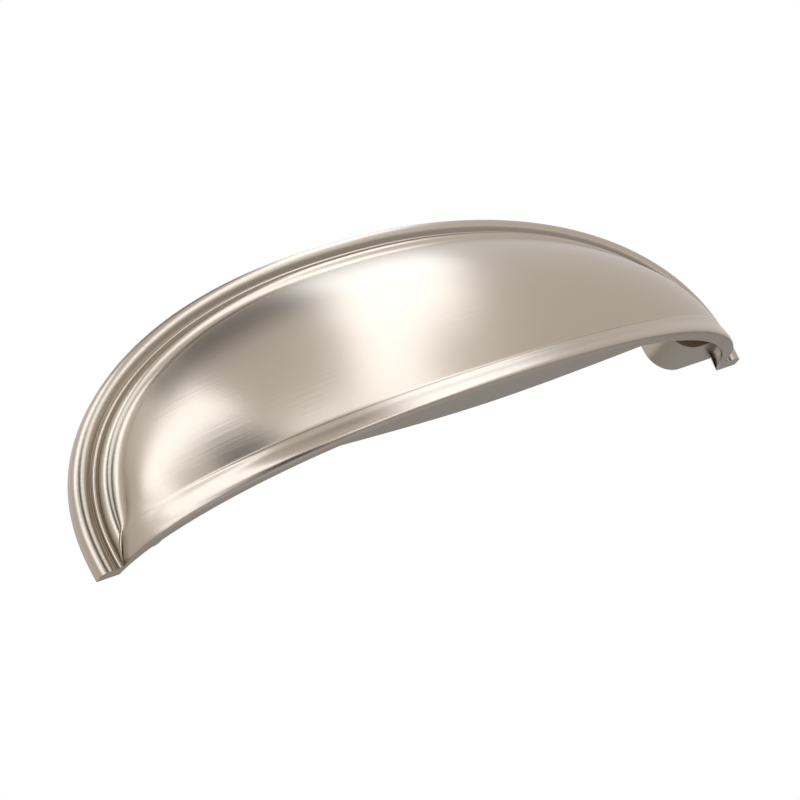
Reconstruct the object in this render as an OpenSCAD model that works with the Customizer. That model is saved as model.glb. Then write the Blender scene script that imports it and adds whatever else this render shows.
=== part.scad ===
// Half-moon cup pull for a drawer front, cast in one piece.
// X runs along the pull, the drawer front is the plane y = 0, the cup stands out towards -Y, and Z is up.
// The origin lies midway between the two screw holes.

/* [Overall] */
// Distance between the screw holes
hole_spacing = 96; // [80:0.5:128]
// Distance from a screw hole to the tip of the pull
end_reach = 8.6; // [7.6:0.1:12]
// Height of the arch above its widest level
arch_height = 34.8; // [30:0.1:44]
// Height of the widest level above the bottom edge
widest_level = 2.8; // [1:0.1:3.5]
// Squareness of the arch, where 2 is an ellipse
arch_power = 2.18; // [2:0.02:2.5]
// Distance that the lip stands out from the drawer front
projection = 27.6; // [24:0.1:34]
// Thickness of the cast wall
wall = 2.4; // [1.8:0.1:2.8]

/* [Border] */
// Width of the round bead next to the drawer
bead_width = 2.6; // [2:0.1:3]
// Height of the bead
bead_height = 2.75; // [2.2:0.05:3.2]
// Depth of the groove inside the bead
groove_depth = 0.4; // [0.2:0.05:0.7]
// Width of the thin ridge inside the groove
ridge_width = 0.8; // [0.6:0.05:1.2]
// Height of the ridge over the groove
ridge_height = 0.8; // [0.5:0.05:1.1]
// Width of the rounded step inside the ridge
step_width = 1.1; // [0.8:0.05:1.5]
// Height of the rounded step
step_height = 1.9; // [1.5:0.05:2.4]
// Width of the hollow moulding that leads up to the dome
cove_width = 1.7; // [1.2:0.05:2.2]
// Height of the hollow moulding
cove_height = 2.45; // [1.8:0.05:3]
// Width of the flat rim that lies against the drawer front
rim_width = 3.6; // [3.4:0.1:5.2]

/* [Dome] */
// Bulge of the dome as a share of its own chord
dome_bulge = 0.1; // [0.05:0.01:0.14]

/* [Lip] */
// Height of the lip band above the bottom edge
lip_height = 4.2; // [3.6:0.1:5.4]
// Distance that the lip flares out past the foot of the dome
lip_flare = 2.6; // [2.2:0.1:3.4]
// Roundness of the lip's face, where 0 is flat
lip_swell = 0.25; // [0:0.05:0.6]
// Radius of the lip's lower edge
lip_round = 0.8; // [0.4:0.1:1.2]
// Width of the bevel along the inside of the lip's edge
bevel_width = 1.2; // [0.6:0.1:1.4]
// Height of the bevel
bevel_height = 1; // [0.6:0.1:1.4]
// Squareness of the lip along the pull
lip_power_x = 2.33; // [2:0.01:2.6]
// Squareness of the lip away from the drawer
lip_power_y = 1.84; // [1.6:0.01:2.1]
// Extra thickness of the finger grip in the middle of the lip
grip_depth = 3.8; // [1:0.1:4.5]
// Length of the finger grip
grip_length = 52; // [36:1:60]

/* [Mounting] */
// Height of the screw holes above the bottom edge
hole_level = 9; // [7:0.1:11]
// Diameter of the tapped screw hole
hole_d = 3.3; // [2.5:0.1:4.2]
// Depth of the screw hole
hole_depth = 5.4; // [4:0.1:5.8]
// Depth of a mounting pad from the drawer front
pad_depth = 7.5; // [6:0.1:9]
// Distance from a screw hole to the inner edge of its pad
pad_reach = 5.4; // [5:0.1:9]
// Gap between the bottom edge and the underside of a pad
pad_lift = 2.2; // [0.6:0.1:2.6]
// Radius of the pad's lower inner corner
pad_corner = 4.2; // [2:0.1:4.5]

/* [Hidden] */
// Columns of facets from tip to tip
columns = 64;
// Rows of facets down the dome
dome_rows = 6;
// Facets along a quarter of a small moulding
arc_steps = 2;
// Facets across the rounded step and across the lip, which meet in a mitre
mitre_steps = 4;
// Facets round a screw hole and round a pad's corner
circle_facets = 48;
// Overrun of a cut past the face that it opens
overrun = 1;
half_length = hole_spacing / 2 + end_reach;

// Points [inset, height] on part of an ellipse, with angles in degrees
function arc(centre, radii, from, to, steps) = [
    for (k = [0:steps])
        let (angle = from + (to - from) * k / steps)
        [centre[0] + radii[0] * cos(angle), centre[1] + radii[1] * sin(angle)]
];

// Points evenly spaced on a straight line
function line(from, to, steps) = [for (k = [0:steps]) from + (to - from) * k / steps];

// The same points without the first, for a line that goes on from another
function rest(points) = [for (k = [1:len(points) - 1]) points[k]];

// Angles at which the bead ends, the ridge begins and ends, and the hollow moulding ends
bead_end = 35;
ridge_begin = 170;
ridge_end = 40;
cove_end = 350;

// Section of the border from the drawer inwards: the bead, the groove and the ridge
bead_half = bead_width / (1 + cos(bead_end));
bead_points = arc([bead_half, bead_height / 2], [bead_half, bead_height / 2], 180, bead_end, 2 * arc_steps);
groove_level = bead_height - groove_depth;
ridge_points = arc([bead_width + ridge_width / 2, groove_level], [ridge_width / 2, ridge_height],
                   ridge_begin, ridge_end, 2 * arc_steps);
rim_points = concat([[0, -overrun]], bead_points, ridge_points);

// Next the rounded step, and the hollow moulding up to the crease where the dome begins
step_start = bead_width + ridge_width;
step_base = groove_level + ridge_height * sin(ridge_end);
step_points = arc([step_start + step_width, step_base], [step_width, step_height], 180, 90, mitre_steps);
cove_start = step_start + step_width;
cove_base = step_base + step_height;
cove_points = rest(arc([cove_start, cove_base + cove_height], [cove_width, cove_height],
                       270, cove_end, 2 * arc_steps));

// The same stretches on the inside, set back by shares of the wall across the border and towards the drawer
corner_set = [0.5, -0.5];
crease_set = [0.8, -0.6];
inner_start = [rim_width, 0];
inner_corner = [cove_start, cove_base] + wall * corner_set;
inner_crease = [cove_start + cove_width, cove_base + cove_height] + wall * crease_set;
inner_rim_points = [[rim_width, -overrun]];
inner_step_points = line(inner_start, inner_corner, arc_steps);
inner_cove_points = rest(line(inner_corner, inner_crease, arc_steps));

// Section of the lip from the foot of the dome: [share of the flare, height above the bottom edge]
lip_main = [
    for (k = [1:mitre_steps])
        let (down = k / mitre_steps)
        [(1 + lip_swell) * down - lip_swell * down * down, lip_height - (lip_height - lip_round) * down]
];
lip_edge = rest(arc([1 - lip_round / lip_flare, lip_round], [lip_round / lip_flare, lip_round],
                    0, -90, arc_steps));
lip_points = concat(lip_main, lip_edge);
// Share of the flare that the lip's inner face has reached at half its height
inner_bend = 0.8;
inner_lip_points = [[inner_bend, lip_height / 2], [1, bevel_height], [1 + bevel_width / lip_flare, 0]];

// A signed power, which keeps the side of its base
function power(base, exponent) = sign(base) * pow(abs(base), exponent);

// Angle round the arch at which a line inset by s comes down to a level
function end_angle(s, level) = acos(power((level - widest_level) / (arch_height - s), arch_power / 2));

// Point at a share t, from -1 to 1, of the line inset by s, which ends at a level
function arch_point(s, height, level, t) =
    let (angle = t * end_angle(s, level))
    [(half_length - s) * power(sin(angle), 2 / arch_power),
     -height,
     widest_level + (arch_height - s) * power(cos(angle), 2 / arch_power)];

// Distance from the drawer front along a lip curve that ends at half_width
function lip_reach(x, half_width, end, reach) =
    let (inside = 1 - pow(min(1, abs(x) / half_width), lip_power_x))
    end + (reach - end) * pow(inside, 1 / lip_power_y);

// Share of the finger grip's thickness at a place along the lip
function grip_share(x) = max(0, 1 - pow(2 * x / grip_length, 2));

// Share of the hollow moulding and of the bevel, which run out to nothing in the corners
corner_power = 18;
function corner_share(t) = sqrt(1 - pow(abs(t), corner_power));

// Column of points down the cup: rim, step, hollow moulding, dome and lip
function cup_column(t, rim, step, cove, lip, foot_reach, edge_reach, grip) =
    let (
        last = len(step) - 1,
        outer_end = arch_point(step[0][0], step[0][1], 0, 1),
        corner = arch_point(step[last][0], step[last][1], lip_height, 1),
        step_part = [for (k = [0:last]) arch_point(step[k][0], step[k][1], lip_height * k / last, t)],
        cove_part = [
            for (p = cove)
                let (q = step[last] + (p - step[last]) * corner_share(t))
                arch_point(q[0], q[1], lip_height, t)
        ],
        crease = cove_part[len(cove) - 1],
        foot_x = step_part[last][0],
        foot = [foot_x, -lip_reach(foot_x, corner[0], -corner[1], foot_reach), lip_height],
        edge_x = foot_x * outer_end[0] / corner[0],
        edge_y = -lip_reach(edge_x, outer_end[0], -outer_end[1], edge_reach) + grip * grip_share(edge_x),
        chord = foot - crease,
        out = [0, chord[2], -chord[1]],
        dome_part = [
            for (k = [1:dome_rows])
                let (v = k / dome_rows)
                crease + v * chord + dome_bulge * 4 * v * (1 - v) * out
        ],
        lip_part = [
            for (p = lip)
                let (part = min(1, p[0]) + max(0, p[0] - 1) * corner_share(t))
                [foot_x + (edge_x - foot_x) * part, foot[1] + (edge_y - foot[1]) * part, p[1]]
        ]
    )
    concat([for (p = rim) arch_point(p[0], p[1], 0, t)], step_part, cove_part, dome_part, lip_part);

// Solid cup that runs on straight past the bottom edge
module cup(rim, step, cove, lip, foot_reach, edge_reach, grip) {
    grid = [
        for (i = [0:columns])
            cup_column(2 * i / columns - 1, rim, step, cove, lip, foot_reach, edge_reach, grip)
    ];
    rows = len(grid[0]);
    edge_row = len(rim);
    corner_row = edge_row + len(step) - 1;
    foot_row = corner_row + len(cove) + dome_rows;
    // At both ends the lip meets the step on one mitre line, and the dome runs out to a point
    function end_row(j) =
        j <= corner_row ? j : j <= foot_row ? corner_row : max(edge_row, corner_row + foot_row - j);
    function index(i, j) = i * rows + (i == 0 || i == columns ? end_row(j) : j);
    sides = [
        for (i = [0:columns - 1], j = [0:rows - 2])
            let (a = index(i, j), b = index(i + 1, j), c = index(i + 1, j + 1), d = index(i, j + 1))
            each [[a, b, c], [a, c, d]]
    ];
    skin = [for (f = sides) if (f[0] != f[1] && f[1] != f[2] && f[2] != f[0]) f];
    back = [for (i = [columns:-1:0]) index(i, 0)];
    bottom = concat(
        [for (j = [0:edge_row]) index(0, j)],
        [for (i = [1:columns - 1]) index(i, rows - 1)],
        [for (j = [edge_row:-1:0]) index(columns, j)]
    );
    points = [for (column = grid) each column];
    dropped = [for (k = bottom) points[k] - [0, 0, overrun]];
    first = len(points);
    count = len(bottom);
    skirt = [
        for (k = [0:count - 1])
            let (next = (k + 1) % count)
            each [[bottom[k], bottom[next], first + next], [bottom[k], first + next, first + k]]
    ];
    underside = [for (k = [0:count - 1]) first + k];
    polyhedron(concat(points, dropped), concat(skin, skirt, [back, underside]));
}

// Outline of one mounting pad, seen from the front, on the +X side
module pad_outline() {
    inner_x = hole_spacing / 2 - pad_reach;
    translate([inner_x + pad_corner, pad_lift])
        square([half_length - inner_x - pad_corner, arch_height]);
    translate([inner_x, pad_lift + pad_corner])
        square([pad_corner, arch_height]);
    translate([inner_x + pad_corner, pad_lift + pad_corner])
        circle(r = pad_corner, $fn = circle_facets);
}

module pads() {
    for (side = [0, 1])
        mirror([side, 0, 0])
            translate([0, 2 * overrun, 0])
                rotate([90, 0, 0])
                    linear_extrude(pad_depth + 2 * overrun)
                        pad_outline();
}

module screw_holes() {
    for (side = [-1, 1])
        translate([side * hole_spacing / 2, overrun, hole_level])
            rotate([90, 0, 0])
                cylinder(d = hole_d, h = hole_depth + overrun, $fn = circle_facets);
}

// Space inside the cup, with the mounting pads left standing in its ends
module hollow() {
    difference() {
        cup(rim = inner_rim_points, step = inner_step_points, cove = inner_cove_points,
            lip = inner_lip_points, foot_reach = projection - lip_flare - wall,
            edge_reach = projection - wall, grip = grip_depth);
        pads();
    }
}

// Outside of the pull, cut flat along the drawer front and along the bottom edge
module envelope() {
    room_x = half_length + overrun;
    room_y = projection + overrun;
    intersection() {
        cup(rim = rim_points, step = step_points, cove = cove_points, lip = lip_points,
            foot_reach = projection - lip_flare, edge_reach = projection, grip = 0);
        translate([-room_x, -room_y, 0])
            cube([2 * room_x, room_y, widest_level + arch_height + overrun]);
    }
}

module cup_pull() {
    color("#b9ac9e")
        translate([0, 0, -hole_level])
            difference() {
                envelope();
                hollow();
                screw_holes();
            }
}

cup_pull();
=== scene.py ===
"""Satin nickel cup pull: a fine mesh of the cast cup, its brushed finish, and plain studio light."""
import math

import bmesh
import bpy
from mathutils import Matrix, Vector


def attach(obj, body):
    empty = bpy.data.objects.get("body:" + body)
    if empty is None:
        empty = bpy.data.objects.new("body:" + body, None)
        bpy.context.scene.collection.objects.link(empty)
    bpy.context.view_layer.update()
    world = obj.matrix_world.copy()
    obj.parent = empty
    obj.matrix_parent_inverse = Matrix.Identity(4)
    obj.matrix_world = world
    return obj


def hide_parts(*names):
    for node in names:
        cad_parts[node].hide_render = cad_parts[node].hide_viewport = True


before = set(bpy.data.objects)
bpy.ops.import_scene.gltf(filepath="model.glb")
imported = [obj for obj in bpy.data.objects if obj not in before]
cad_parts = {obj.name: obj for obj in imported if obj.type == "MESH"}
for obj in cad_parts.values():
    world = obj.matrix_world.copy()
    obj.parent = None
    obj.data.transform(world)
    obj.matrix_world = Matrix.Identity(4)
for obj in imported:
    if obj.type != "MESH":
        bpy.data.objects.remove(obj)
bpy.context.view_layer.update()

# Sizes of the pull, in metres, with the names that the part's source gives them
MM = 0.001
HOLE_SPACING = 96 * MM
END_REACH = 8.6 * MM
ARCH_HEIGHT = 34.8 * MM
WIDEST_LEVEL = 2.8 * MM
ARCH_POWER = 2.18
PROJECTION = 27.6 * MM
WALL = 2.4 * MM
BEAD_WIDTH = 2.6 * MM
BEAD_HEIGHT = 2.75 * MM
GROOVE_DEPTH = 0.4 * MM
RIDGE_WIDTH = 0.8 * MM
RIDGE_HEIGHT = 0.8 * MM
STEP_WIDTH = 1.1 * MM
STEP_HEIGHT = 1.9 * MM
COVE_WIDTH = 1.7 * MM
COVE_HEIGHT = 2.45 * MM
RIM_WIDTH = 3.6 * MM
DOME_BULGE = 0.1
LIP_HEIGHT = 4.2 * MM
LIP_FLARE = 2.6 * MM
LIP_SWELL = 0.25
LIP_ROUND = 0.8 * MM
LEDGE = 1.0 * MM
BEVEL_WIDTH = 1.2 * MM
BEVEL_HEIGHT = 1.0 * MM
LIP_POWER_X = 2.33
LIP_POWER_Y = 1.84
GRIP_DEPTH = 3.8 * MM
GRIP_LENGTH = 52 * MM
HOLE_LEVEL = 9 * MM
HOLE_DEPTH = 5.4 * MM
PAD_DEPTH = 7.5 * MM
PAD_REACH = 5.4 * MM
PAD_LIFT = 2.2 * MM
PAD_CORNER = 4.2 * MM
HALF_LENGTH = HOLE_SPACING / 2 + END_REACH

# Angles, in degrees, at which the bead ends, the ridge begins and ends, and the hollow moulding ends
BEAD_END = 35
RIDGE_BEGIN = 170
RIDGE_END = 40
COVE_END = 350

# Shares of the wall that set back the inside, across the border and towards the drawer
CORNER_SET = (0.5, -0.5)
CREASE_SET = (0.8, -0.6)

# Share of the flare that the lip's inner face has reached at half its height
INNER_BEND = 0.8

# How suddenly the hollow moulding and the bevel run out in the corners
CORNER_POWER = 18

# Fineness and smoothing of the mesh, and the angle in degrees above which an edge stays sharp
COLUMNS = 320
DOME_ROWS = 36
ARC_STEPS = 8
MITRE_STEPS = 14
LEDGE_STEPS = 6
SOFTEN_PASSES = 3
BLEND_COLUMNS = 16
BLEND_PASSES = 60
BLEND_FACTOR = 0.5
BLEND_LEVEL = 0.1 * MM
SHARP_ANGLE = 40

# Thread in the mounting pads, with its largest and smallest radius
THREAD_MAJOR = 2.0 * MM
THREAD_MINOR = 1.65 * MM
THREAD_PITCH = 0.7 * MM
THREAD_RINGS = 8
THREAD_SET = 0.15 * MM
HOLE_SIDES = 48
HOLE_OVERRUN = 1.0 * MM

# How far a pad reaches into the cast wall, and how far its back lies behind the rim's
PAD_OVERLAP = 0.8 * MM
PAD_SET = 0.004 * MM

# Brushed finish, whose lines are long along the pull and fine across it
NICKEL_COLOR = (0.41, 0.345, 0.28)
NICKEL_ROUGHNESS = 0.28
BRUSH_ANISOTROPY = 0.7
BRUSH_TURN = 0.25
BRUSH_SCALE = (30, 200, 3000)
BRUSH_DETAIL = 3
BRUSH_STRENGTH = 1.0
BRUSH_DEPTH = 0.016 * MM

# Studio, in metres
WORLD_LIGHT = 0.5
FLOOR_LEVEL = -0.3
FLOOR_SIZE = 8
FLOOR_COLOR = (0.85, 0.85, 0.85)
LIGHT_BRIGHTNESS = 2.5
LIGHT_COLOR = (0.86, 0.97, 1.12)
RIGHT_LIGHT_PLACE = (0.27, -0.27, 0.5)
RIGHT_LIGHT_SIZE = (0.14, 0.6)
LEFT_LIGHT_PLACE = (-0.33, -0.19, 0.5)
LEFT_LIGHT_SIZE = (0.6, 0.34)
FRONT_LIGHT_PLACE = (0.14, -0.51, 0.28)
FRONT_LIGHT_SIZE = (0.3, 0.24)
FRONT_BRIGHTNESS = 2.0
REAR_LIGHT_PLACE = (0.3, 0.15, 0.5)
REAR_LIGHT_SIZE = (0.13, 0.2)
SIDE_LIGHT_PLACE = (-0.55, -0.28, 0.16)
SIDE_LIGHT_SIZE = (0.4, 0.4)
SIDE_BRIGHTNESS = 1.9
FRONT_SCREEN_PLACE = (-0.16, -0.526, 0.05)
FRONT_SCREEN_FACING = (0.29, 0.956, 0)
FRONT_SCREEN_SIZE = (0.19, 1.1)
TOP_SCREEN_PLACE = (0.03, 0.13, 0.5)
TOP_SCREEN_SIZE = (0.18, 0.16)
GAP_SCREEN_PLACE = (0.145, 0.16, 0.49)
GAP_SCREEN_SIZE = (0.14, 0.2)
SCREEN_COLOR = (0.03, 0.03, 0.03)
UP = (0, 0, 1)
DOWN = (0, 0, -1)

# Camera: lens in millimetres, place looked at, and directions to the right, up and back of the view
SENSOR = 36
LENS = 140.5
VIEW_DISTANCE = 0.45
VIEW_TARGET = (-3.6 * MM, -5.91 * MM, 0.32 * MM)
VIEW_RIGHT = (0.8234, -0.3519, -0.4448)
VIEW_UP = (0.2692, -0.4498, 0.8516)
VIEW_BACK = (-0.4994, -0.8213, -0.2757)


def sin_deg(angle):
    return math.sin(math.radians(angle))


def cos_deg(angle):
    return math.cos(math.radians(angle))


def arc(centre, radii, start, end, steps):
    """Points (inset, height) on part of an ellipse, with angles in degrees."""
    angles = [start + (end - start) * k / steps for k in range(steps + 1)]
    return [(centre[0] + radii[0] * cos_deg(a), centre[1] + radii[1] * sin_deg(a)) for a in angles]


def line(start, end, steps):
    """Points evenly spaced on a straight line."""
    return [tuple(a + (b - a) * k / steps for a, b in zip(start, end)) for k in range(steps + 1)]


# Section of the border outside, as points (inset, height) from the drawer inwards
BEAD_HALF = BEAD_WIDTH / (1 + cos_deg(BEAD_END))
GROOVE_LEVEL = BEAD_HEIGHT - GROOVE_DEPTH
BEAD_RADII = (BEAD_HALF, BEAD_HEIGHT / 2)
BEAD_POINTS = arc(BEAD_RADII, BEAD_RADII, 180, BEAD_END, 2 * ARC_STEPS)
RIDGE_POINTS = arc((BEAD_WIDTH + RIDGE_WIDTH / 2, GROOVE_LEVEL), (RIDGE_WIDTH / 2, RIDGE_HEIGHT),
                   RIDGE_BEGIN, RIDGE_END, 2 * ARC_STEPS)
RIM_POINTS = line((0, 0), BEAD_POINTS[0], ARC_STEPS)[:-1] + BEAD_POINTS + RIDGE_POINTS
STEP_START = BEAD_WIDTH + RIDGE_WIDTH
STEP_BASE = GROOVE_LEVEL + RIDGE_HEIGHT * sin_deg(RIDGE_END)
STEP_POINTS = arc((STEP_START + STEP_WIDTH, STEP_BASE), (STEP_WIDTH, STEP_HEIGHT), 180, 90, MITRE_STEPS)
COVE_START = STEP_START + STEP_WIDTH
COVE_BASE = STEP_BASE + STEP_HEIGHT
COVE_POINTS = arc((COVE_START, COVE_BASE + COVE_HEIGHT), (COVE_WIDTH, COVE_HEIGHT),
                  270, COVE_END, 2 * ARC_STEPS)[1:]

# The same stretches inside, set back by the wall
INNER_CORNER = (COVE_START + WALL * CORNER_SET[0], COVE_BASE + WALL * CORNER_SET[1])
INNER_CREASE = (COVE_START + COVE_WIDTH + WALL * CREASE_SET[0],
                COVE_BASE + COVE_HEIGHT + WALL * CREASE_SET[1])
INNER_STEP_POINTS = line((RIM_WIDTH, 0), INNER_CORNER, ARC_STEPS)
INNER_COVE_POINTS = line(INNER_CORNER, INNER_CREASE, ARC_STEPS)[1:]

# Places of the columns along the cup, from -1 to 1, evenly spaced or closer together towards the ends
EVEN_SHARES = [2 * i / COLUMNS - 1 for i in range(COLUMNS + 1)]
CLOSE_SHARES = [math.sin(math.pi / 2 * share) for share in EVEN_SHARES]


def lip_section():
    """Points (share of the flare, height) of the lip from the foot of the dome to its rounded edge."""
    flare = LIP_FLARE + LEDGE
    ledge_share = LEDGE / flare
    edge_share = LIP_ROUND / flare
    face_top = LIP_HEIGHT - LEDGE
    points = arc((0, face_top), (ledge_share, LEDGE), 90, 0, LEDGE_STEPS)[1:]
    rows = MITRE_STEPS - LEDGE_STEPS
    for k in range(1, rows + 1):
        down = k / rows
        out = (1 + LIP_SWELL) * down - LIP_SWELL * down ** 2
        points.append((ledge_share + (1 - ledge_share) * out, face_top - (face_top - LIP_ROUND) * down))
    return points + arc((1 - edge_share, LIP_ROUND), (edge_share, LIP_ROUND), 0, -90, ARC_STEPS)[1:]


def inner_lip_section():
    """Points (share of the flare, height) of the lip's inner face."""
    middle = (INNER_BEND, LIP_HEIGHT / 2)
    shoulder = (1, BEVEL_HEIGHT)
    edge = (1 + BEVEL_WIDTH / LIP_FLARE, 0)
    points = []
    for start, end in (((0, LIP_HEIGHT), middle), (middle, shoulder), (shoulder, edge)):
        points += line(start, end, ARC_STEPS // 2)[1:]
    return points


def signed_power(base, exponent):
    """A power that keeps the side of its base."""
    return math.copysign(abs(base) ** exponent, base)


def arch_point(inset, height, level, t):
    """Point at a share t, from -1 to 1, of the line inset from the arch, which ends at a level."""
    rise = ARCH_HEIGHT - inset
    angle = t * math.acos(signed_power((level - WIDEST_LEVEL) / rise, ARCH_POWER / 2))
    x = (HALF_LENGTH - inset) * signed_power(math.sin(angle), 2 / ARCH_POWER)
    return Vector((x, -height, WIDEST_LEVEL + rise * signed_power(math.cos(angle), 2 / ARCH_POWER)))


def lip_reach(x, half_width, end, reach):
    """Distance from the drawer along a lip curve that ends at half_width."""
    inside = max(0, 1 - min(1, abs(x) / half_width) ** LIP_POWER_X)
    return end + (reach - end) * inside ** (1 / LIP_POWER_Y)


def grip_share(x):
    """Share of the finger grip's thickness at a place along the lip."""
    return max(0, 1 - (2 * x / GRIP_LENGTH) ** 2)


def cup_column(t, rim, step, cove, lip, foot_reach, edge_reach, grip):
    """Points down the cup at a share t of its length: rim, step, hollow moulding, dome and lip."""
    last = len(step) - 1
    outer_end = arch_point(*step[0], 0, 1)
    corner = arch_point(*step[last], LIP_HEIGHT, 1)
    points = [arch_point(*p, 0, t) for p in rim]
    points += [arch_point(*p, LIP_HEIGHT * k / last, t) for k, p in enumerate(step)]
    foot_x = points[-1].x
    share = math.sqrt(max(0, 1 - abs(t) ** CORNER_POWER))
    for p in cove:
        inset, height = (a + (b - a) * share for a, b in zip(step[last], p))
        points.append(arch_point(inset, height, LIP_HEIGHT, t))
    crease = points[-1]
    foot = Vector((foot_x, -lip_reach(foot_x, corner.x, -corner.y, foot_reach), LIP_HEIGHT))
    edge_x = foot_x * outer_end.x / corner.x
    edge_y = -lip_reach(edge_x, outer_end.x, -outer_end.y, edge_reach) + grip * grip_share(edge_x)
    chord = foot - crease
    out = Vector((0, chord.z, -chord.y))
    for k in range(1, DOME_ROWS + 1):
        v = (1 - math.cos(math.pi * k / DOME_ROWS)) / 2
        points.append(crease + v * chord + DOME_BULGE * 4 * v * (1 - v) * out)
    for reach, height in lip:
        along = min(1, reach)
        outward = along + max(0, reach - 1) * share
        y = min(0, foot.y + (edge_y - foot.y) * outward)
        points.append(Vector((foot_x + (edge_x - foot_x) * along, y, height)))
    return points


def soften(points, passes):
    """Rounds the corners of a column of points and keeps its ends."""
    for _ in range(passes):
        inner = [(points[k - 1] + 2 * points[k] + points[k + 1]) / 4 for k in range(1, len(points) - 1)]
        points = [points[0]] + inner + [points[-1]]
    return points


class Skin:
    """One side of the cup as a grid of mesh points, with its two ends drawn together to a mitre."""

    def __init__(self, mesh, shares, rim, step, cove, lip, foot_reach, edge_reach, grip):
        self.edge_row = len(rim)
        self.corner_row = self.edge_row + len(step) - 1
        self.foot_row = self.corner_row + len(cove) + DOME_ROWS
        self.grid = []
        for t in shares:
            points = cup_column(t, rim, step, cove, lip, foot_reach, edge_reach, grip)
            if abs(t) < 1:
                column = [mesh.verts.new(p) for p in soften(points, SOFTEN_PASSES)]
            else:
                shown = [mesh.verts.new(p) for p in points[:self.corner_row + 1]]
                column = [shown[self.end_row(j)] for j in range(len(points))]
            self.grid.append(column)

    def end_row(self, j):
        if j <= self.corner_row:
            return j
        if j <= self.foot_row:
            return self.corner_row
        return max(self.edge_row, self.corner_row + self.foot_row - j)

    def fill(self, mesh, inward):
        for left, right in zip(self.grid, self.grid[1:]):
            for j in range(len(left) - 1):
                add_face(mesh, [left[j], right[j], right[j + 1], left[j + 1]], inward)

    def blend_ends(self, mesh):
        """Rounds the inner corners where the border runs into the lip, and keeps the lower edge."""
        ends = self.grid[:BLEND_COLUMNS] + self.grid[-BLEND_COLUMNS:]
        points = {p for column in ends for p in column[self.edge_row:] if p.co.z > BLEND_LEVEL}
        for _ in range(BLEND_PASSES):
            bmesh.ops.smooth_vert(mesh, verts=list(points), factor=BLEND_FACTOR,
                                  use_axis_x=True, use_axis_y=True, use_axis_z=True)

    def end_rim(self, i):
        return self.grid[i][:self.edge_row + 1]


def add_face(mesh, corners, flip=False):
    """Adds a face and drops the corners that coincide."""
    kept = []
    for corner in corners:
        if corner not in kept:
            kept.append(corner)
    if len(kept) > 2:
        mesh.faces.new(kept[::-1] if flip else kept)


def cast_shell():
    """The cast cup with its open back and bottom, as one closed mesh."""
    mesh = bmesh.new()
    outer = Skin(mesh, CLOSE_SHARES, RIM_POINTS, STEP_POINTS, COVE_POINTS, lip_section(),
                 PROJECTION - LIP_FLARE - LEDGE, PROJECTION, 0)
    inner = Skin(mesh, CLOSE_SHARES, [], INNER_STEP_POINTS, INNER_COVE_POINTS, inner_lip_section(),
                 PROJECTION - LIP_FLARE - WALL, PROJECTION - WALL, GRIP_DEPTH)
    outer.fill(mesh, False)
    outer.blend_ends(mesh)
    inner.fill(mesh, True)
    for i in range(COLUMNS):
        a, b, c, d = outer.grid[i], outer.grid[i + 1], inner.grid[i + 1], inner.grid[i]
        add_face(mesh, [a[0], d[0], c[0], b[0]])
        add_face(mesh, [a[-1], b[-1], c[-1], d[-1]])
    add_face(mesh, outer.end_rim(0) + inner.end_rim(0)[::-1])
    add_face(mesh, outer.end_rim(COLUMNS) + inner.end_rim(COLUMNS)[::-1], True)
    return mesh


def core_solid():
    """Closed solid whose skin runs inside the cast wall, which bounds the mounting pads."""
    mesh = bmesh.new()
    step = [(inset - PAD_OVERLAP, height) for inset, height in INNER_STEP_POINTS]
    cove = [(inset - PAD_OVERLAP, height) for inset, height in INNER_COVE_POINTS]
    skin = Skin(mesh, EVEN_SHARES, [], step, cove, inner_lip_section(),
                PROJECTION - LIP_FLARE - WALL + PAD_OVERLAP, PROJECTION - WALL + PAD_OVERLAP, 0)
    skin.fill(mesh, False)
    add_face(mesh, [column[0] for column in skin.grid])
    add_face(mesh, [column[-1] for column in skin.grid])
    return mesh


def pad_solid(side):
    """Straight block with the outline of a mounting pad."""
    inner_x = HOLE_SPACING / 2 - PAD_REACH
    centre = (inner_x + PAD_CORNER, PAD_LIFT + PAD_CORNER)
    outline = arc(centre, (PAD_CORNER, PAD_CORNER), 180, 270, MITRE_STEPS)
    outline += [(HALF_LENGTH, PAD_LIFT), (HALF_LENGTH, ARCH_HEIGHT), (inner_x, ARCH_HEIGHT)]
    mesh = bmesh.new()
    back = [mesh.verts.new((side * x, -PAD_SET, z)) for x, z in outline]
    front = [mesh.verts.new((side * x, -PAD_DEPTH, z)) for x, z in outline]
    add_face(mesh, back)
    add_face(mesh, front)
    for k in range(len(outline)):
        add_face(mesh, [back[k - 1], back[k], front[k], front[k - 1]])
    return mesh


def ring(mesh, x, y, radius_at):
    """Circle of points round a screw hole, with a radius that may follow the angle."""
    points = []
    for k in range(HOLE_SIDES):
        angle = 2 * math.pi * k / HOLE_SIDES
        radius = radius_at(angle)
        place = (x + radius * math.cos(angle), y, HOLE_LEVEL + radius * math.sin(angle))
        points.append(mesh.verts.new(place))
    return points


def join_rings(mesh, first, second):
    for k in range(HOLE_SIDES):
        add_face(mesh, [first[k - 1], first[k], second[k], second[k - 1]])


def hole_solid(side):
    """Cylinder that opens a pad for its thread."""
    mesh = bmesh.new()
    x = side * HOLE_SPACING / 2
    near = ring(mesh, x, HOLE_OVERRUN, lambda angle: THREAD_MAJOR)
    far = ring(mesh, x, -HOLE_DEPTH, lambda angle: THREAD_MAJOR)
    add_face(mesh, near)
    add_face(mesh, far)
    join_rings(mesh, near, far)
    return mesh


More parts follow.
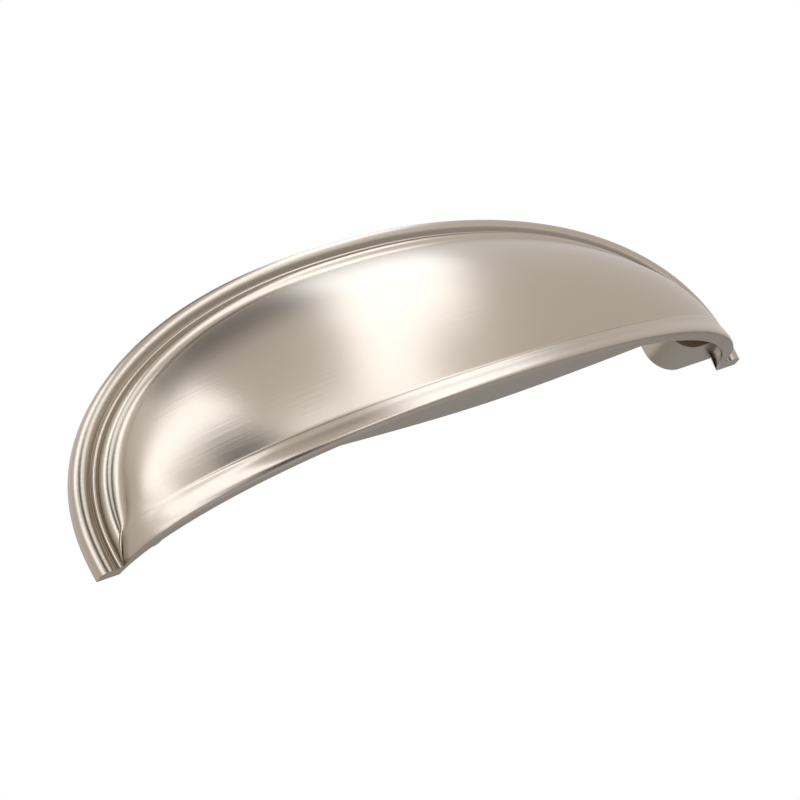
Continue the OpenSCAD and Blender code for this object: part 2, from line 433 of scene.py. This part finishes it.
def thread_solid(side):
    """Sleeve with the screw thread on its inside and a floor at the far end."""
    mesh = bmesh.new()
    x = side * HOLE_SPACING / 2
    count = round(HOLE_DEPTH / THREAD_PITCH * THREAD_RINGS)
    rings = []
    for k in range(count + 1):
        y = -THREAD_SET - (HOLE_DEPTH - 2 * THREAD_SET) * k / count

        def radius_at(angle):
            turn = (y / THREAD_PITCH + angle / (2 * math.pi)) % 1
            return THREAD_MINOR + (THREAD_MAJOR - THREAD_MINOR) * abs(2 * turn - 1)

        rings.append(ring(mesh, x, y, radius_at))
    outer = [ring(mesh, x, y, lambda angle: THREAD_MAJOR + PAD_SET) for y in (-THREAD_SET, -HOLE_DEPTH)]
    for first, second in zip(rings, rings[1:]):
        join_rings(mesh, first, second)
    join_rings(mesh, rings[0], outer[0])
    join_rings(mesh, outer[0], outer[1])
    add_face(mesh, rings[-1])
    add_face(mesh, outer[1])
    return mesh


def new_object(name, mesh):
    """Turns a mesh in the cup's own frame into an object in the part's frame."""
    mesh.transform(Matrix.Translation((0, 0, -HOLE_LEVEL)))
    bmesh.ops.recalc_face_normals(mesh, faces=mesh.faces[:])
    data = bpy.data.meshes.new(name)
    mesh.to_mesh(data)
    mesh.free()
    obj = bpy.data.objects.new(name, data)
    bpy.context.scene.collection.objects.link(obj)
    return obj


def apply_boolean(obj, operation, cutter):
    """Cuts one object with another, and removes the cutter."""
    modifier = obj.modifiers.new("cut", "BOOLEAN")
    modifier.operation = operation
    modifier.object = cutter
    modifier.solver = "EXACT"
    cut = bpy.data.meshes.new_from_object(obj.evaluated_get(bpy.context.evaluated_depsgraph_get()))
    obj.modifiers.clear()
    obj.data = cut
    bpy.data.objects.remove(cutter)


def join_meshes(target, others):
    """Adds the meshes of other objects to one object, and removes the others."""
    mesh = bmesh.new()
    mesh.from_mesh(target.data)
    for other in others:
        mesh.from_mesh(other.data)
        bpy.data.objects.remove(other)
    mesh.to_mesh(target.data)
    mesh.free()


def map_brushing(obj):
    """Gives each face a map whose first axis runs along the pull, the way of the brushing."""
    layer = obj.data.uv_layers.new(name="brushing")
    for loop in obj.data.loops:
        place = obj.data.vertices[loop.vertex_index].co
        layer.data[loop.index].uv = (place.x, place.y + place.z)


def build_pull():
    """The cast cup with its pads and their threads, as one object."""
    pull = new_object("cup_pull_body", cast_shell())
    pieces = []
    for side in (-1, 1):
        pad = new_object("pad", pad_solid(side))
        apply_boolean(pad, "INTERSECT", new_object("core", core_solid()))
        apply_boolean(pad, "DIFFERENCE", new_object("hole", hole_solid(side)))
        apply_boolean(pull, "DIFFERENCE", new_object("hole", hole_solid(side)))
        pieces += [pad, new_object("thread", thread_solid(side))]
    join_meshes(pull, pieces)
    pull.data.shade_smooth()
    pull.data.set_sharp_from_angle(angle=math.radians(SHARP_ANGLE))
    map_brushing(pull)
    return pull


def link(tree, source, target):
    tree.links.new(source, target)


def satin_nickel():
    """Warm nickel plate with fine brush lines along the pull."""
    material = bpy.data.materials.new("satin_nickel")
    material.use_nodes = True
    tree = material.node_tree
    shader = tree.nodes["Principled BSDF"]
    shader.inputs["Base Color"].default_value = (*NICKEL_COLOR, 1)
    shader.inputs["Metallic"].default_value = 1
    shader.inputs["Roughness"].default_value = NICKEL_ROUGHNESS
    shader.inputs["Anisotropic"].default_value = BRUSH_ANISOTROPY
    shader.inputs["Anisotropic Rotation"].default_value = BRUSH_TURN
    tangent = tree.nodes.new("ShaderNodeTangent")
    tangent.direction_type = "UV_MAP"
    tangent.uv_map = "brushing"
    place = tree.nodes.new("ShaderNodeTexCoord")
    stretch = tree.nodes.new("ShaderNodeMapping")
    stretch.inputs["Scale"].default_value = BRUSH_SCALE
    noise = tree.nodes.new("ShaderNodeTexNoise")
    noise.inputs["Scale"].default_value = 1
    noise.inputs["Detail"].default_value = BRUSH_DETAIL
    bump = tree.nodes.new("ShaderNodeBump")
    bump.inputs["Strength"].default_value = BRUSH_STRENGTH
    bump.inputs["Distance"].default_value = BRUSH_DEPTH
    link(tree, tangent.outputs["Tangent"], shader.inputs["Tangent"])
    link(tree, place.outputs["Object"], stretch.inputs["Vector"])
    link(tree, stretch.outputs["Vector"], noise.inputs["Vector"])
    link(tree, noise.outputs["Fac"], bump.inputs["Height"])
    link(tree, bump.outputs["Normal"], shader.inputs["Normal"])
    return material


def plain_material(name, color):
    material = bpy.data.materials.new(name)
    material.use_nodes = True
    shader = material.node_tree.nodes["Principled BSDF"]
    shader.inputs["Base Color"].default_value = (*color, 1)
    shader.inputs["Roughness"].default_value = 1
    shader.inputs["Specular IOR Level"].default_value = 0
    return material


def flat_panel(name, centre, facing, size, material):
    """Flat panel of the studio that faces a direction: a unit square, scaled to its size."""
    mesh = bmesh.new()
    bmesh.ops.create_grid(mesh, x_segments=1, y_segments=1, size=0.5)
    data = bpy.data.meshes.new(name)
    mesh.to_mesh(data)
    mesh.free()
    obj = bpy.data.objects.new(name, data)
    obj.scale = (size[0], size[1], 1)
    obj.rotation_euler = Vector(facing).to_track_quat("Z", "Y").to_euler()
    obj.location = centre
    data.materials.append(material)
    bpy.context.scene.collection.objects.link(obj)
    return obj


def soft_light(name, centre, facing, size, brightness):
    """Soft rectangular light that shines the way it faces."""
    data = bpy.data.lights.new(name, "AREA")
    data.shape = "RECTANGLE"
    data.size = size[0]
    data.size_y = size[1]
    data.color = LIGHT_COLOR
    data.energy = brightness * math.pi * size[0] * size[1]
    obj = bpy.data.objects.new(name, data)
    obj.location = centre
    obj.rotation_euler = Vector(facing).to_track_quat("-Z", "Y").to_euler()
    obj.visible_camera = False
    bpy.context.scene.collection.objects.link(obj)


def dark_screen(name, centre, facing, size):
    """Dark panel that shows only in the metal's reflections."""
    screen = flat_panel(name, centre, facing, size, plain_material(name, SCREEN_COLOR))
    screen.visible_camera = False
    screen.visible_diffuse = False
    screen.visible_shadow = False


def white_world():
    """White to the camera and in reflections, grey as a light on the rest."""
    world = bpy.data.worlds.new("white_world")
    bpy.context.scene.world = world
    world.use_nodes = True
    tree = world.node_tree
    background = tree.nodes["Background"]
    background.inputs["Color"].default_value = (1, 1, 1, 1)
    path = tree.nodes.new("ShaderNodeLightPath")
    glossy = tree.nodes.new("ShaderNodeMath")
    glossy.operation = "MAXIMUM"
    shown = tree.nodes.new("ShaderNodeMath")
    shown.operation = "MAXIMUM"
    strength = tree.nodes.new("ShaderNodeMapRange")
    strength.inputs["To Min"].default_value = WORLD_LIGHT
    strength.inputs["To Max"].default_value = 1
    link(tree, path.outputs["Is Glossy Ray"], glossy.inputs[0])
    link(tree, path.outputs["Is Transmission Ray"], glossy.inputs[1])
    link(tree, path.outputs["Is Camera Ray"], shown.inputs[0])
    link(tree, glossy.outputs[0], shown.inputs[1])
    link(tree, shown.outputs[0], strength.inputs["Value"])
    link(tree, strength.outputs["Result"], background.inputs["Strength"])


def aim_camera():
    """Long lens from the front left and from below, turned so that the pull slants across the view."""
    data = bpy.data.cameras.new("camera")
    data.sensor_width = SENSOR
    data.lens = LENS
    camera = bpy.data.objects.new("camera", data)
    right, up, back = (Vector(v).normalized() for v in (VIEW_RIGHT, VIEW_UP, VIEW_BACK))
    place = Vector(VIEW_TARGET) + back * VIEW_DISTANCE
    camera.matrix_world = Matrix.Translation(place) @ Matrix((right, up, back)).transposed().to_4x4()
    bpy.context.scene.collection.objects.link(camera)
    bpy.context.scene.camera = camera


pull = build_pull()
pull.data.materials.clear()
pull.data.materials.append(satin_nickel())
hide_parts("cup_pull")
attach(pull, "root")

flat_panel("floor", (0, 0, FLOOR_LEVEL), UP, (FLOOR_SIZE, FLOOR_SIZE), plain_material("floor", FLOOR_COLOR))
soft_light("right_light", RIGHT_LIGHT_PLACE, DOWN, RIGHT_LIGHT_SIZE, LIGHT_BRIGHTNESS)
soft_light("left_light", LEFT_LIGHT_PLACE, DOWN, LEFT_LIGHT_SIZE, LIGHT_BRIGHTNESS)
soft_light("rear_light", REAR_LIGHT_PLACE, DOWN, REAR_LIGHT_SIZE, LIGHT_BRIGHTNESS)
soft_light("side_light", SIDE_LIGHT_PLACE, -Vector(SIDE_LIGHT_PLACE), SIDE_LIGHT_SIZE, SIDE_BRIGHTNESS)
soft_light("front_light", FRONT_LIGHT_PLACE, -Vector(FRONT_LIGHT_PLACE), FRONT_LIGHT_SIZE, FRONT_BRIGHTNESS)
dark_screen("front_screen", FRONT_SCREEN_PLACE, FRONT_SCREEN_FACING, FRONT_SCREEN_SIZE)
dark_screen("top_screen", TOP_SCREEN_PLACE, DOWN, TOP_SCREEN_SIZE)
dark_screen("gap_screen", GAP_SCREEN_PLACE, DOWN, GAP_SCREEN_SIZE)
white_world()
aim_camera()
bpy.context.scene.view_settings.view_transform = "Standard"
